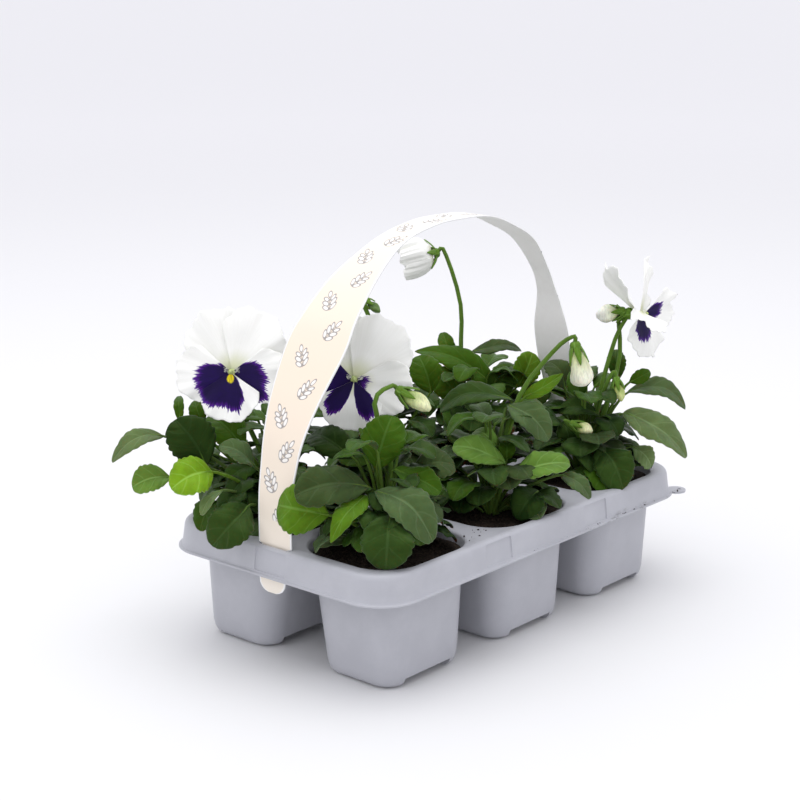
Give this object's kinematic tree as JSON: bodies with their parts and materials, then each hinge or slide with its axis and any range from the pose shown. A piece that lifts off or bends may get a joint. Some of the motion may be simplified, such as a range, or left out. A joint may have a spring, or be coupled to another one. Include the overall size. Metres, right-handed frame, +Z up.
{
  "type": "potted pansy planter",
  "caption": "Low moulded cell tray with a wide arched carry band over it, filled with potting soil and leafy flowering bedding plants.",
  "frame": {"origin": "on the surface that the tray stands on, under the middle of the tray", "axes": "+X along the tray's length, +Y across it towards the back row of cells, +Z up"},
  "size_m": [0.3419, 0.2028, 0.2277],
  "materials": {
    "tray_plastic": "satin",
    "band_card": "coated, satin",
    "potting_soil": "loose and crumbly",
    "leaf": "soft leaf, slightly waxy",
    "petal": "velvety petal",
    "bud": "closed petal"
  },
  "bodies": {
    "root": {"tray": "tray_plastic", "handle_band": "band_card", "soil_back_left": "potting_soil", "soil_front_left": "potting_soil", "soil_back_mid": "potting_soil", "soil_front_mid": "potting_soil", "soil_back_right": "potting_soil", "soil_front_right": "potting_soil", "foliage_back_left": "leaf", "foliage_front_left": "leaf", "foliage_back_mid": "leaf", "foliage_front_mid": "leaf", "foliage_back_right": "leaf", "foliage_front_right": "leaf", "bloom_back_left": "petal", "bloom_front_left": "petal", "bloom_front_right": "petal", "bud_back_right_tall": "petal", "bud_front_left": "bud", "bud_front_mid": "bud", "bud_front_right_pale": "bud", "bud_front_right_low": "bud", "bud_front_right_inner": "bud", "bud_back_mid": "bud"}
  },
  "joints": []
}
